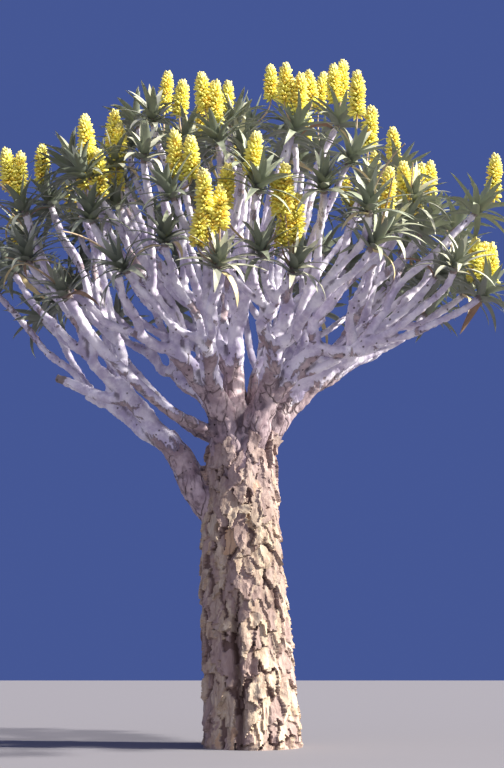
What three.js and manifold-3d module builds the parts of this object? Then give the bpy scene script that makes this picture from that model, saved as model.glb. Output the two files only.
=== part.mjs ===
// Tree aloe in flower: a thick trunk, boughs that fork in two again and again, and a
// rosette of thick leaves with spikes of flowers at the end of each stem.
// Millimetres, +Z up. The origin is the middle of the flat cut at ground level, the
// viewer of the photograph stands on the -Y side, and the photograph's right is +X.

import * as THREE from "three";
import { mergeVertices } from "three/addons/utils/BufferGeometryUtils.js";
import Module from "manifold-3d";

const wasm = await Module();
wasm.setup();

// The trunk, from the cut at the ground to the head that the boughs leave.
const TRUNK_HEIGHT = 2330;
const TRUNK_HEAD = 2080;
const TRUNK_FOOT_RADIUS = 322;
const TRUNK_TOP_RADIUS = 238;
const TAPER_BEND = 1.5;
const FLARE = 20;
const FLARE_HEIGHT = 150;
const LEAN = -85;
const LEAN_HEIGHT = 1600;
const TRUNK_SIDES = 18;
const TRUNK_STEP = 330;
const HEAD_RINGS = 4;
const HEAD_BLUNTNESS = 0.93;
const LOBES = [
  { count: 2, depth: 0.02, turn: 3.1, twist: 0.0003 },
  { count: 3, depth: 0.02, turn: 1.6, twist: -0.0004 },
  { count: 5, depth: 0.018, turn: 0.9, twist: 0.0006 },
];

// The crown: rosettes on a dome, with its middle on the trunk's axis.
const CROWN_MIDDLE = new THREE.Vector3(-100, 0, 3060);
const CROWN_WIDTH = 1950;
const CROWN_DEPTH = 1620;
const CROWN_RISE = 1700;
const CROWN_BLUNTNESS = 0.96;
const LOWEST_RISE = THREE.MathUtils.degToRad(8);
const LOWEST_RISE_SWING = THREE.MathUtils.degToRad(13);
const GOLDEN_ANGLE = Math.PI * (3 - Math.sqrt(5));
const ROSETTE_TURN = 0.4;
const ROSETTE_SCATTER = 0.16;
const ROSETTE_SHIFT = 0.14;
const ROSETTE_LEAN = 0.62;

// The low boughs stand in a ring and fork once more than the high ones before their
// leaf masses begin. Each starts on the trunk's head, on the side that it feeds.
const LOW_BOUGHS = [
  { name: "right", rootHeight: 2190, rootOut: 130, side: true },
  { name: "back_right", rootHeight: 2150, rootOut: 130 },
  { name: "back_left", rootHeight: 2110, rootOut: 130 },
  { name: "left", rootHeight: 1620, rootOut: 170, side: true },
  { name: "front_left", rootHeight: 2130, rootOut: 125 },
  { name: "front_right", rootHeight: 2150, rootOut: 130 },
];
const HIGH_BOUGHS = [
  { name: "high_right", rootHeight: 2230, rootOut: 75 },
  { name: "high_left", rootHeight: 2220, rootOut: 75 },
  { name: "high_front", rootHeight: 2210, rootOut: 70 },
];
const LOW_LOAD = 8;
const HIGH_LOAD = 6;
const ROSETTE_COUNT = LOW_LOAD * LOW_BOUGHS.length + HIGH_LOAD * HIGH_BOUGHS.length;
const LOW_START = -30;
const HIGH_START = -40;
const ROOT_RISE = 62;

// How far out and up each fork lies, as a share of the way from the root to the middle
// of the rosettes that it feeds. Limbs go out first and turn up near their ends.
const FORK_OUT = [0.2, 0.42, 0.62, 0.8];
const FORK_UP = [0.24, 0.43, 0.6, 0.79];
const SIDE_FORK_OUT = [0.3, 0.58, 0.77, 0.9];
const SIDE_FORK_UP = [0.26, 0.43, 0.61, 0.8];
const FORK_LIFT = 0.25;
const FORK_SPREAD = 0.68;
const FORK_SCATTER = 45;
const HANDLE = 0.36;

// A limb's radius follows from how many rosettes it feeds.
const STEM_RADIUS = 37;
const THICKENING = 2.15;
const ROOT_SWELLS = [1.35, 1.12, 1.1, 1.1, 1.1];
const TIP_THINNING = 0.93;
const THINNING_BEND = 1.4;
const LIMB_SIDES = [8, 7, 5, 5, 5];
const LIMB_RINGS = [3, 3, 2, 2, 2];
const SINK = 0.75;
const GAP = 0.3;
const STEM_STATIONS = [0.87, 0.5, 0];

// A rosette: a hub with leaves drawn out of its facets, in three ranks from the top.
const HUB_RADIUS = 74;
const LEAF_LENGTH = 285;
const LEAF_RANKS = [
  { leastCosine: 0.5, rootRise: 62, tipRise: 50, length: 0.86, most: 3 },
  { leastCosine: 0, rootRise: 33, tipRise: 10, length: 1, most: 4 },
  { leastCosine: -0.5, rootRise: 2, tipRise: -36, length: 0.95, most: 3 },
];
const LEAF_BEND = 0.52;
const LEAF_WIDTH_KEPT = 0.74;
const LEAF_THICKNESS_KEPT = 0.4;
const LEAF_SWAY = 0.16;
const LEAF_SHORTENINGS = [1, 0.82, 0.66];
const CLEARANCE = 2;

// A spike of flowers is drawn out of a facet too. Each ring is a height and a radius.
const SPIKE_RINGS = [
  { height: 85, radius: 18 },
  { height: 145, radius: 55 },
  { height: 300, radius: 46 },
];
const SPIKE_LENGTH = 400;
const SPIKE_TILT = 0.2;
const SPIKE_SHARE = 0.64;
const TWIN_SPIKE_SHARE = 0.6;

// The broken stub, low on the left.
const STUB = {
  bough: "left_b",
  share: 0.68,
  radius: 42,
  swells: [1.1, 1, 0.95, 0.8],
  reach: [-570, 30, 180],
  sag: [-230, 0, -10],
};

const COLOURS = {
  trunk: { color: 0xb59b78, roughness: 0.9 },
  limb: { color: 0xcfc8cf, roughness: 0.65 },
  leaves: { color: 0x8b9a76, roughness: 0.6 },
};

const UP = new THREE.Vector3(0, 0, 1);
const TREE = 7;

// A number from 0 to 1 that depends only on its two seeds.
function roll(seed, use) {
  const wave = Math.sin(seed * 127.1 + use * 311.7 + TREE * 74.7) * 43758.5453;
  return wave - Math.floor(wave);
}

function around(seed, use) {
  return roll(seed, use) * 2 - 1;
}

function radiusFor(rosettes) {
  return STEM_RADIUS * rosettes ** (1 / THICKENING);
}

function direction(azimuth, rise) {
  const a = THREE.MathUtils.degToRad(azimuth);
  const r = THREE.MathUtils.degToRad(rise);
  return new THREE.Vector3(Math.cos(a) * Math.cos(r), Math.sin(a) * Math.cos(r), Math.sin(r));
}

// The way from the crown's middle to a point, on the dome drawn as a round ball.
function domeDirection(point) {
  const from = point.clone().sub(CROWN_MIDDLE);
  return from.divide(new THREE.Vector3(CROWN_WIDTH, CROWN_DEPTH, CROWN_RISE)).normalize();
}

// The dome reaches lowest at the front and ends highest at the back.
function rosettePlaces() {
  const places = [];
  for (let i = 0; i < ROSETTE_COUNT; i++) {
    const azimuth = i * GOLDEN_ANGLE + ROSETTE_TURN + ROSETTE_SHIFT * around(i, 2);
    const lowest = Math.sin(LOWEST_RISE + LOWEST_RISE_SWING * Math.sin(azimuth));
    const sine = 1 - ((i + 0.5) / ROSETTE_COUNT) * (1 - lowest) + 0.04 * around(i, 1);
    const rise = Math.asin(Math.min(0.999, sine));
    const out = Math.cos(rise) ** CROWN_BLUNTNESS;
    const place = new THREE.Vector3(
      CROWN_WIDTH * out * Math.cos(azimuth),
      CROWN_DEPTH * out * Math.sin(azimuth),
      CROWN_RISE * Math.sin(rise),
    );
    const reach = 1 - ROSETTE_SCATTER * roll(i, 3) ** 2;
    places.push({ seed: i, rise, at: place.multiplyScalar(reach).add(CROWN_MIDDLE) });
  }
  return places;
}

// Deals rosettes out to boughs, so many to each, going round from a starting azimuth.
function dealRound(rosettes, load, boughs, startDegrees) {
  const start = THREE.MathUtils.degToRad(startDegrees);
  const turn = (r) => {
    const way = domeDirection(r.at);
    return THREE.MathUtils.euclideanModulo(Math.atan2(way.y, way.x) - start, 2 * Math.PI);
  };
  const order = [...rosettes].sort((a, b) => turn(a) - turn(b));
  return boughs.map((bough, i) => ({ ...bough, rosettes: order.slice(i * load, (i + 1) * load) }));
}

function middleOf(rosettes) {
  const sum = new THREE.Vector3();
  rosettes.forEach((r) => sum.add(r.at));
  return sum.divideScalar(rosettes.length);
}

// Halves a group of rosettes across its wider spread, sideways or upward.
function halve(rosettes) {
  const ways = rosettes.map((r) => domeDirection(r.at));
  const middle = new THREE.Vector3();
  ways.forEach((w) => middle.add(w));
  const side = new THREE.Vector3().crossVectors(UP, middle).normalize();
  const lift = new THREE.Vector3().crossVectors(middle.normalize(), side);
  const spreads = [side, lift].map((axis) => {
    const marks = ways.map((w) => w.dot(axis));
    return Math.max(...marks) - Math.min(...marks);
  });
  const axis = spreads[0] >= spreads[1] ? side : lift;
  const order = rosettes
    .map((r, i) => ({ r, mark: ways[i].dot(axis) }))
    .sort((a, b) => a.mark - b.mark)
    .map((entry) => entry.r);
  const half = Math.ceil(order.length / 2);
  return [order.slice(0, half), order.slice(half)];
}

function forkPlace(root, rosettes, level) {
  const way = middleOf(rosettes).sub(root.at);
  const seed = rosettes[0].seed + 100 * level;
  const out = (root.side ? SIDE_FORK_OUT : FORK_OUT)[level];
  const up = (root.side ? SIDE_FORK_UP : FORK_UP)[level];
  return new THREE.Vector3(
    root.at.x + way.x * out + FORK_SCATTER * around(seed, 11),
    root.at.y + way.y * out + FORK_SCATTER * around(seed, 12),
    root.at.z + way.z * up + FORK_SCATTER * around(seed, 13),
  );
}

function rosetteAxis(rosette) {
  const out = rosette.at.clone().sub(CROWN_MIDDLE).normalize();
  return out.multiplyScalar(ROSETTE_LEAN).add(UP).normalize();
}

// One limb from a start to its fork or rosette. The curve leaves along a mix of the
// limb before it and its own way, and arrives along its end's own direction.
function makeLimb(start, startWay, rosettes, root, level) {
  const single = rosettes.length === 1;
  const end = single ? rosettes[0].at : forkPlace(root, rosettes, level);
  const way = end.clone().sub(start).normalize();
  const endWay = single
    ? rosetteAxis(rosettes[0])
    : middleOf(rosettes).sub(end).normalize().add(way).addScaledVector(UP, FORK_LIFT).normalize();
  const leave = startWay.clone().lerp(way, FORK_SPREAD).normalize();
  const radius = radiusFor(rosettes.length);
  const sideways = way.clone().addScaledVector(startWay, -way.dot(startWay));
  return { start, startWay, end, endWay, leave, sideways, rosettes, level, radius };
}

// The curve of a limb. Its root lies beside its parent's middle and sinks into it.
function limbCurve(limb, parentRadius) {
  const aside = Math.max(0, parentRadius * TIP_THINNING - limb.radius);
  const shift = limb.sideways.clone();
  if (shift.lengthSq() > 1e-6) shift.normalize().multiplyScalar(aside);
  const from = limb.start.clone().add(shift).addScaledVector(limb.startWay, -SINK * limb.radius);
  const span = from.distanceTo(limb.end) * HANDLE;
  return new THREE.CubicBezierCurve3(
    from,
    from.clone().addScaledVector(limb.leave, span),
    limb.end.clone().addScaledVector(limb.endWay, -span),
    limb.end.clone(),
  );
}

function limbRadius(limb, share) {
  const swell = (ROOT_SWELLS[limb.level] - TIP_THINNING) * (1 - share) ** THINNING_BEND;
  return limb.radius * (TIP_THINNING + swell);
}

// The closed solid inside a geometry's surface.
function solidOf(geometry) {
  const bare = new THREE.BufferGeometry().setAttribute("position", geometry.getAttribute("position"));
  if (geometry.index) bare.setIndex(geometry.index);
  const merged = mergeVertices(bare, 1e-3);
  return new wasm.Manifold(
    new wasm.Mesh({
      numProp: 3,
      vertProperties: new Float32Array(merged.getAttribute("position").array),
      triVerts: new Uint32Array(merged.index.array),
    }),
  );
}

// A round bar with rings of the given radii, its rings carried along a curve.
function bentBar(curve, radii, sides) {
  const last = radii.length - 1;
  const profile = [new THREE.Vector2(0, 0)];
  radii.forEach((radius, ring) => profile.push(new THREE.Vector2(radius, ring)));
  profile.push(new THREE.Vector2(0, last));
  const bar = new THREE.LatheGeometry(profile, sides);
  const frames = curve.computeFrenetFrames(last, false);
  const position = bar.getAttribute("position");
  const vertex = new THREE.Vector3();
  for (let i = 0; i < position.count; i++) {
    vertex.fromBufferAttribute(position, i);
    const ring = Math.round(vertex.y);
    const at = curve
      .getPointAt(ring / last)
      .addScaledVector(frames.normals[ring], vertex.x)
      .addScaledVector(frames.binormals[ring], -vertex.z);
    position.setXYZ(i, at.x, at.y, at.z);
  }
  return outward(solidOf(bar), bar);
}

// Turns a solid's faces outward where its profile ran the other way.
function outward(solid, geometry) {
  if (solid.volume() > 0) return solid;
  const flipped = geometry.index.array;
  for (let i = 0; i < flipped.length; i += 3) {
    [flipped[i + 1], flipped[i + 2]] = [flipped[i + 2], flipped[i + 1]];
  }
  return solidOf(geometry);
}

function limbSolid(limb, curve, grow = 0) {
  const rings = LIMB_RINGS[limb.level];
  const radii = Array.from({ length: rings + 1 }, (_, ring) => limbRadius(limb, ring / rings) + grow);
  return bentBar(curve, radii, LIMB_SIDES[limb.level]);
}

function leanAt(height) {
  return LEAN * THREE.MathUtils.smoothstep(height, 0, LEAN_HEIGHT);
}

function trunkRadius(height) {
  const rise = Math.min(1, height / TRUNK_HEAD) ** TAPER_BEND;
  const taper = TRUNK_FOOT_RADIUS + (TRUNK_TOP_RADIUS - TRUNK_FOOT_RADIUS) * rise;
  const flare = FLARE * Math.exp(-height / FLARE_HEIGHT);
  const above = Math.max(0, height - TRUNK_HEAD) / (TRUNK_HEIGHT - TRUNK_HEAD);
  return (taper + flare) * Math.sqrt(1 - HEAD_BLUNTNESS * above * above);
}

function lobesAt(angle, height) {
  return LOBES.reduce(
    (sum, lobe) => sum + lobe.depth * Math.cos(lobe.count * angle + lobe.turn + lobe.twist * height),
    1,
  );
}

// The trunk is a lathe whose rings lean with height and bulge in a few broad lobes.
function trunkSolid(grow = 0) {
  const heights = [0, 90];
  for (let h = TRUNK_STEP; h < TRUNK_HEAD; h += TRUNK_STEP) heights.push(h);
  for (let i = 1; i <= HEAD_RINGS; i++) {
    heights.push(TRUNK_HEAD + ((TRUNK_HEIGHT - TRUNK_HEAD) * i) / HEAD_RINGS);
  }
  const profile = [new THREE.Vector2(0, 0)];
  heights.forEach((h) => profile.push(new THREE.Vector2(trunkRadius(h) + grow, h)));
  profile.push(new THREE.Vector2(0, TRUNK_HEIGHT + grow));
  const lathe = new THREE.LatheGeometry(profile, TRUNK_SIDES).rotateX(Math.PI / 2);
  const position = lathe.getAttribute("position");
  for (let i = 0; i < position.count; i++) {
    const [x, y, z] = [position.getX(i), position.getY(i), position.getZ(i)];
    const bulge = lobesAt(Math.atan2(y, x), z);
    position.setXYZ(i, x * bulge + leanAt(z), y * bulge, z);
  }
  return outward(solidOf(lathe), lathe);
}

function largestPiece(solid) {
  const pieces = solid.decompose();
  return pieces.reduce((best, piece) => (piece.volume() > best.volume() ? piece : best));
}

// Trims a limb flat at its parent's flat end, and at the plane between it and its twin.
function trimAtFork(solid, limb, twin) {
  const facing = limb.startWay;
  let trimmed = solid.trimByPlane(facing.toArray(), facing.dot(limb.start) + GAP);
  if (twin) {
    const apart = limb.sideways.clone().normalize().sub(twin.sideways.clone().normalize()).normalize();
    trimmed = trimmed.trimByPlane(apart.toArray(), apart.dot(limb.start) + GAP / 2);
  }
  return largestPiece(trimmed);
}

// The facets of a rosette's hub, turned so that a corner points along its axis.
function hubFacets(rosette, axis) {
  const hub = new THREE.IcosahedronGeometry(HUB_RADIUS);
  const position = hub.getAttribute("position");
  const corner = new THREE.Vector3().fromBufferAttribute(position, 0).normalize();
  hub.applyQuaternion(new THREE.Quaternion().setFromUnitVectors(corner, axis));
  hub.applyQuaternion(new THREE.Quaternion().setFromAxisAngle(axis, roll(rosette.seed, 21) * 2 * Math.PI));
  const facets = [];
  for (let i = 0; i < position.count; i += 3) {
    const corners = [0, 1, 2].map((k) => new THREE.Vector3().fromBufferAttribute(position, i + k));
    const middle = corners[0].clone().add(corners[1]).add(corners[2]).divideScalar(3);
    const cosine = middle.dot(axis) / middle.length();
    const rank = LEAF_RANKS.findIndex((r) => cosine > r.leastCosine);
    facets.push({ corners, middle, rank, seed: rosette.seed * 20 + i / 3 });
  }
  return facets;
}

function riseWay(out, axis, degrees) {
  const rise = THREE.MathUtils.degToRad(degrees);
  return out.clone().multiplyScalar(Math.cos(rise)).addScaledVector(axis, Math.sin(rise));
}

// The ring at a leaf's bend and its tip, for a leaf drawn out of a facet.
function leafShape(facet, axis, shortening) {
  const rank = LEAF_RANKS[facet.rank];
  const out = facet.middle.clone().addScaledVector(axis, -facet.middle.dot(axis)).normalize();
  const side = new THREE.Vector3().crossVectors(axis, out);
  out.addScaledVector(side, LEAF_SWAY * around(facet.seed, 22)).normalize();
  side.crossVectors(axis, out).normalize();
  const length = LEAF_LENGTH * rank.length * shortening * (1 + 0.12 * around(facet.seed, 23));
  const rootWay = riseWay(out, axis, rank.rootRise + 7 * around(facet.seed, 24));
  const tipWay = riseWay(out, axis, rank.tipRise + 10 * around(facet.seed, 25));
  const bend = facet.middle.clone().addScaledVector(rootWay, length * LEAF_BEND);
  const tip = bend.clone().addScaledVector(tipWay, length * (1 - LEAF_BEND));
  const thick = new THREE.Vector3().crossVectors(rootWay, side).normalize();
  const ring = facet.corners.map((corner) => {
    const offset = corner.clone().sub(facet.middle);
    return bend
      .clone()
      .addScaledVector(side, offset.dot(side) * LEAF_WIDTH_KEPT)
      .addScaledVector(thick, offset.dot(thick) * LEAF_THICKNESS_KEPT);
  });
  return { rings: [ring], tip };
}

// The rings and tip of a flower spike drawn out of a facet.
function spikeShape(facet, axis, turn) {
  const scale = 1 - 0.25 * roll(facet.seed, 31);
  const normal = facet.middle.clone().normalize();
  const side = normal.clone().addScaledVector(axis, -normal.dot(axis)).normalize();
  const tilt = SPIKE_TILT * (1 + 0.3 * around(facet.seed, 32));
  const way = axis.clone().lerp(UP, turn).addScaledVector(side, tilt).normalize();
  const twist = new THREE.Quaternion().setFromUnitVectors(normal, way);
  const along = (height) => facet.middle.clone().addScaledVector(way, height * scale);
  const rings = SPIKE_RINGS.map(({ height, radius }) =>
    facet.corners.map((corner) =>
      along(height).add(corner.clone().sub(facet.middle).applyQuaternion(twist).setLength(radius)),
    ),
  );
  return { rings, tip: along(SPIKE_LENGTH) };
}

// The faces of a shape drawn out of a facet, as triangles of corners.
function drawnFaces(facet, { rings, tip }) {
  const faces = [];
  const stations = [facet.corners, ...rings];
  for (let k = 0; k < 3; k++) {
    const next = (k + 1) % 3;
    for (let j = 1; j < stations.length; j++) {
      const [low, high] = [stations[j - 1], stations[j]];
      faces.push(low[k], low[next], high[next], low[k], high[next], high[k]);
    }
    const last = stations[stations.length - 1];
    faces.push(last[k], last[next], tip);
  }
  return faces;
}

// The stem below a hub goes on from the rim of its lowest facets, down to its root.
function stemFaces(facet, axis, stations) {
  const pole = facet.corners.findIndex((corner) => corner.dot(axis) < -0.9 * HUB_RADIUS);
  const [p, q] = [1, 2].map((k) => facet.corners[(pole + k) % 3]);
  const sides = [p, q].map((corner) => {
    const out = corner.clone().addScaledVector(axis, -corner.dot(axis)).normalize();
    const below = stations.map(({ at, turn, radius }) =>
      out.clone().applyQuaternion(turn).multiplyScalar(radius).add(at),
    );
    return [corner, ...below];
  });
  const faces = [];
  for (let j = 1; j < sides[0].length; j++) {
    faces.push(sides[0][j - 1], sides[1][j - 1], sides[1][j]);
    faces.push(sides[0][j - 1], sides[1][j], sides[0][j]);
  }
  faces.push(sides[0].at(-1), sides[1].at(-1), stations.at(-1).at);
  return faces;
}

// Where the rings of a stem lie, from just below its hub to its root, measured from the hub.
function stemStations(limb, curve, axis) {
  return STEM_STATIONS.map((share) => {
    const tangent = curve.getTangentAt(share);
    return {
      at: curve.getPointAt(share).sub(limb.end),
      turn: new THREE.Quaternion().setFromUnitVectors(axis, tangent),
      radius: limbRadius(limb, share),
    };
  });
}

function solidOfCorners(corners, offset) {
  const geometry = new THREE.BufferGeometry().setFromPoints(corners);
  geometry.translate(...offset.toArray());
  return solidOf(geometry);
}

function nearBoxes(a, b) {
  return [0, 1, 2].every((k) => a.min[k] <= b.max[k] + CLEARANCE && b.min[k] <= a.max[k] + CLEARANCE);
}

// Whether a solid keeps clear of every obstacle that belongs to another node.
function isClear(solid, owner, obstacles) {
  const box = solid.boundingBox();
  return obstacles.every(
    (o) => o.owner === owner || !nearBoxes(box, o.box) || solid.minGap(o.solid, CLEARANCE * 2) >= CLEARANCE,
  );
}

function asObstacle(solid, owner) {
  return { solid, owner, box: solid.boundingBox() };
}

// Whether a facet's spike or leaf, drawn out to a shape, keeps clear of the rest.
function fits(facet, shape, place, owner, obstacles) {
  const closed = [...drawnFaces(facet, shape), ...[...facet.corners].reverse()];
  return isClear(solidOfCorners(closed, place), owner, obstacles);
}

// A stem and its hub before any leaf is drawn out.
function bareSprout({ limb, own }) {
  const rosette = limb.rosettes[0];
  const corners = hubFacets(rosette, rosetteAxis(rosette)).flatMap((facet) => facet.corners);
  return wasm.Manifold.union([own, solidOfCorners(corners, rosette.at)]);
}

// A rosette with its stem: leaves and spikes that fit, on the hub's upper facets.
function sproutSolid(sprout, owner, obstacles) {
  const { limb, curve } = sprout;
  const rosette = limb.rosettes[0];
  const axis = rosetteAxis(rosette);
  const facets = hubFacets(rosette, axis);
  const cap = facets.filter((facet) => facet.rank === 0);
  const middle = cap[0].middle;
  cap.sort((a, b) => middle.angleTo(a.middle) - middle.angleTo(b.middle));
  const flowering = roll(rosette.seed, 33) < SPIKE_SHARE;
  const twin = roll(rosette.seed, 34) < TWIN_SPIKE_SHARE;
  const spiked = flowering ? (twin ? [cap[0], cap[4]] : [cap[0]]) : [];
  const left = LEAF_RANKS.map((rank) => rank.most);
  const stations = stemStations(limb, curve, axis);
  const corners = facets.flatMap((facet) => {
    if (facet.rank < 0) return stemFaces(facet, axis, stations);
    const shapes = [];
    if (spiked.includes(facet)) {
      shapes.push(spikeShape(facet, axis, 0.35));
    } else if (left[facet.rank] > 0) {
      left[facet.rank] -= 1;
      LEAF_SHORTENINGS.forEach((share) => shapes.push(leafShape(facet, axis, share)));
    }
    const shape = shapes.find((s) => fits(facet, s, rosette.at, owner, obstacles));
    return shape ? drawnFaces(facet, shape) : facet.corners;
  });
  return solidOfCorners(corners, rosette.at);
}

function meshOf(name, solid, look) {
  const { vertProperties, triVerts } = solid.getMesh();
  const geometry = new THREE.BufferGeometry();
  geometry.setAttribute("position", new THREE.BufferAttribute(vertProperties, 3));
  geometry.setIndex(new THREE.BufferAttribute(triVerts, 1));
  geometry.computeVertexNormals();
  const mesh = new THREE.Mesh(geometry, new THREE.MeshStandardMaterial({ ...look, flatShading: true }));
  mesh.name = name;
  return mesh;
}

const LETTERS = ["a", "b"];
const solids = [{ name: "trunk", solid: trunkSolid(), look: COLOURS.trunk }];
const masses = [];

function splitLimb(limb, root) {
  return halve(limb.rosettes).map((half) => makeLimb(limb.end, limb.endWay, half, root, limb.level + 1));
}

// The stems inside one leaf mass: the forking ones as solids, the last ones with their curves.
function stemsOf(limb, parentRadius, root) {
  const curve = limbCurve(limb, parentRadius);
  const own = limbSolid(limb, curve);
  if (limb.rosettes.length === 1) return { forking: [], sprouts: [{ limb, curve, own }] };
  const parts = splitLimb(limb, root).map((child) => stemsOf(child, limb.radius, root));
  return {
    forking: [own, ...parts.flatMap((part) => part.forking)],
    sprouts: parts.flatMap((part) => part.sprouts),
  };
}

function addMass(name, limb, twin, parentRadius, root) {
  const { forking, sprouts } = stemsOf(limb, parentRadius, root);
  const stems = trimAtFork(wasm.Manifold.union(forking), limb, twin);
  masses.push({ name, stems, sprouts });
}

// A broken stub that leaves a limb's side, cut where it would enter the limb.
function addStub(limb, curve) {
  const from = curve.getPointAt(STUB.share);
  const way = new THREE.CubicBezierCurve3(
    from,
    from.clone().add(new THREE.Vector3(...STUB.sag)),
    from.clone().add(new THREE.Vector3(...STUB.reach).multiplyScalar(0.7)),
    from.clone().add(new THREE.Vector3(...STUB.reach)),
  );
  const radii = STUB.swells.map((swell) => STUB.radius * swell);
  const solid = bentBar(way, radii, 6).subtract(limbSolid(limb, curve, GAP));
  solids.push({ name: "stub_left", solid: largestPiece(solid), look: COLOURS.limb });
}

// Splits a bough at its end, into forks of its own or into leaf masses.
function splitBough(name, limb, root, forksLeft) {
  const children = splitLimb(limb, root);
  children.forEach((child, i) => {
    const twin = children[1 - i];
    if (forksLeft > 0) {
      const childName = name + "_" + LETTERS[i];
      const curve = limbCurve(child, limb.radius);
      const solid = trimAtFork(limbSolid(child, curve), child, twin);
      solids.push({ name: "bough_" + childName, solid, look: COLOURS.limb });
      if (childName === STUB.bough) addStub(child, curve);
      splitBough(childName, child, root, forksLeft - 1);
    } else {
      addMass("leaves_" + name + "_" + (i + 1), child, twin, limb.radius, root);
    }
  });
}

// A bough's root is cut where it meets the trunk and the boughs set before it.
function addBough(bough, forks, placed) {
  const way = domeDirection(middleOf(bough.rosettes));
  const azimuth = THREE.MathUtils.radToDeg(Math.atan2(way.y, way.x));
  const start = direction(azimuth, 0)
    .multiplyScalar(bough.rootOut)
    .add(new THREE.Vector3(leanAt(bough.rootHeight), 0, bough.rootHeight));
  const root = { at: start, side: bough.side };
  const limb = makeLimb(start, direction(azimuth, ROOT_RISE), bough.rosettes, root, 0);
  limb.sideways.set(0, 0, 0);
  const curve = limbCurve(limb, limb.radius);
  const solid = placed.reduce((left, other) => left.subtract(other), limbSolid(limb, curve));
  solids.push({ name: "bough_" + bough.name, solid: largestPiece(solid), look: COLOURS.limb });
  placed.push(limbSolid(limb, curve, GAP));
  splitBough(bough.name, limb, root, forks);
}

function growTree() {
  const rosettes = rosettePlaces().sort((a, b) => b.rise - a.rise);
  const highCount = HIGH_LOAD * HIGH_BOUGHS.length;
  const high = rosettes.slice(0, highCount);
  const low = rosettes.slice(highCount);
  const placed = [trunkSolid(GAP)];
  dealRound(low, LOW_LOAD, LOW_BOUGHS, LOW_START).forEach((bough) => addBough(bough, 1, placed));
  dealRound(high, HIGH_LOAD, HIGH_BOUGHS, HIGH_START).forEach((bough) => addBough(bough, 0, placed));
}

// Leaves grow last, and only where they keep clear of everything that stands already.
function growLeaves() {
  const obstacles = solids.map(({ name, solid }) => asObstacle(solid, name));
  masses.forEach(({ name, stems, sprouts }) => {
    obstacles.push(asObstacle(stems, name));
    sprouts.forEach((sprout) => obstacles.push(asObstacle(bareSprout(sprout), name)));
  });
  masses.forEach(({ name, stems, sprouts }) => {
    const rosettes = sprouts.map((sprout) => sproutSolid(sprout, name, obstacles));
    rosettes.forEach((rosette) => obstacles.push(asObstacle(rosette, name)));
    const mass = wasm.Manifold.union([stems, ...rosettes]);
    solids.push({ name, solid: largestPiece(mass), look: COLOURS.leaves });
  });
}

growTree();
growLeaves();

const tree = new THREE.Group();
solids.forEach(({ name, solid, look }) => tree.add(meshOf(name, solid, look)));
export default tree;
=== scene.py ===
"""Tree aloe in flower: the looks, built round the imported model.

Metres, +Z up, the origin in the middle of the flat cut at ground level. The limbs are
grown again by the source's rule, with one more fork at the end of each stem.
"""

from collections import namedtuple
from itertools import product
from math import asin, atan2, ceil, cos, pi, radians, sin, sqrt

import bmesh
import bpy
import numpy as np
from mathutils import Matrix, Vector
from mathutils.bvhtree import BVHTree
from mathutils.kdtree import KDTree


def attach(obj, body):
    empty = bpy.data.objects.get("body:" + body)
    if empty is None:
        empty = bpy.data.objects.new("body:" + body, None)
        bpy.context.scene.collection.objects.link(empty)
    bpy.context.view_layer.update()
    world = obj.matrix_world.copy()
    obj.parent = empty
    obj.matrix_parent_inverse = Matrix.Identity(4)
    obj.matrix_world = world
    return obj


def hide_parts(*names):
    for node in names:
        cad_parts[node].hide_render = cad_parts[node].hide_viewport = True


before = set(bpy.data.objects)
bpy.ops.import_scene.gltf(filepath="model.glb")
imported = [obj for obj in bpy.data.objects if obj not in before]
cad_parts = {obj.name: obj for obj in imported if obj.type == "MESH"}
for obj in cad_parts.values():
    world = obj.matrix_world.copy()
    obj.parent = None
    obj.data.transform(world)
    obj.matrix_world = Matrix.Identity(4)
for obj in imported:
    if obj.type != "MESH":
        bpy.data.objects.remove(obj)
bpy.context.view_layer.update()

# The trunk, as in the source.
TRUNK_HEIGHT = 2.33
TRUNK_HEAD = 2.08
TRUNK_FOOT_RADIUS = 0.322
TRUNK_TOP_RADIUS = 0.238
TAPER_BEND = 1.5
FLARE = 0.02
FLARE_HEIGHT = 0.15
LEAN = -0.085
LEAN_HEIGHT = 1.6
HEAD_BLUNTNESS = 0.93
LOBES = [(2, 0.02, 3.1, 0.3), (3, 0.02, 1.6, -0.4), (5, 0.018, 0.9, 0.6)]

# The crown, as in the source.
CROWN_MIDDLE = np.array([-0.1, 0, 3.06])
CROWN_REACH = np.array([1.95, 1.62, 1.7])
CROWN_BLUNTNESS = 0.96
LOWEST_RISE = radians(8)
LOWEST_RISE_SWING = radians(13)
GOLDEN_ANGLE = pi * (3 - sqrt(5))
ROSETTE_TURN = 0.4
ROSETTE_SCATTER = 0.16
ROSETTE_SHIFT = 0.14
ROSETTE_LEAN = 0.62
RISE_SCATTER = 0.04
TREE = 7

# The boughs: where each leaves the trunk's head, and whether its forks lie further out.
Bough = namedtuple("Bough", "name root_height root_out side", defaults=[False])
LOW_BOUGHS = [
    Bough("right", 2.19, 0.13, True),
    Bough("back_right", 2.15, 0.13),
    Bough("back_left", 2.11, 0.13),
    Bough("left", 1.62, 0.17, True),
    Bough("front_left", 2.13, 0.125),
    Bough("front_right", 2.15, 0.13),
]
HIGH_BOUGHS = [
    Bough("high_right", 2.23, 0.075),
    Bough("high_left", 2.22, 0.075),
    Bough("high_front", 2.21, 0.07),
]
BOUGHS = LOW_BOUGHS + HIGH_BOUGHS
LOW_LOAD = 8
HIGH_LOAD = 6
HIGH_COUNT = HIGH_LOAD * len(HIGH_BOUGHS)
ROSETTE_COUNT = LOW_LOAD * len(LOW_BOUGHS) + HIGH_COUNT
LOW_START = radians(-30)
HIGH_START = radians(-40)
ROOT_RISE = radians(62)

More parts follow.
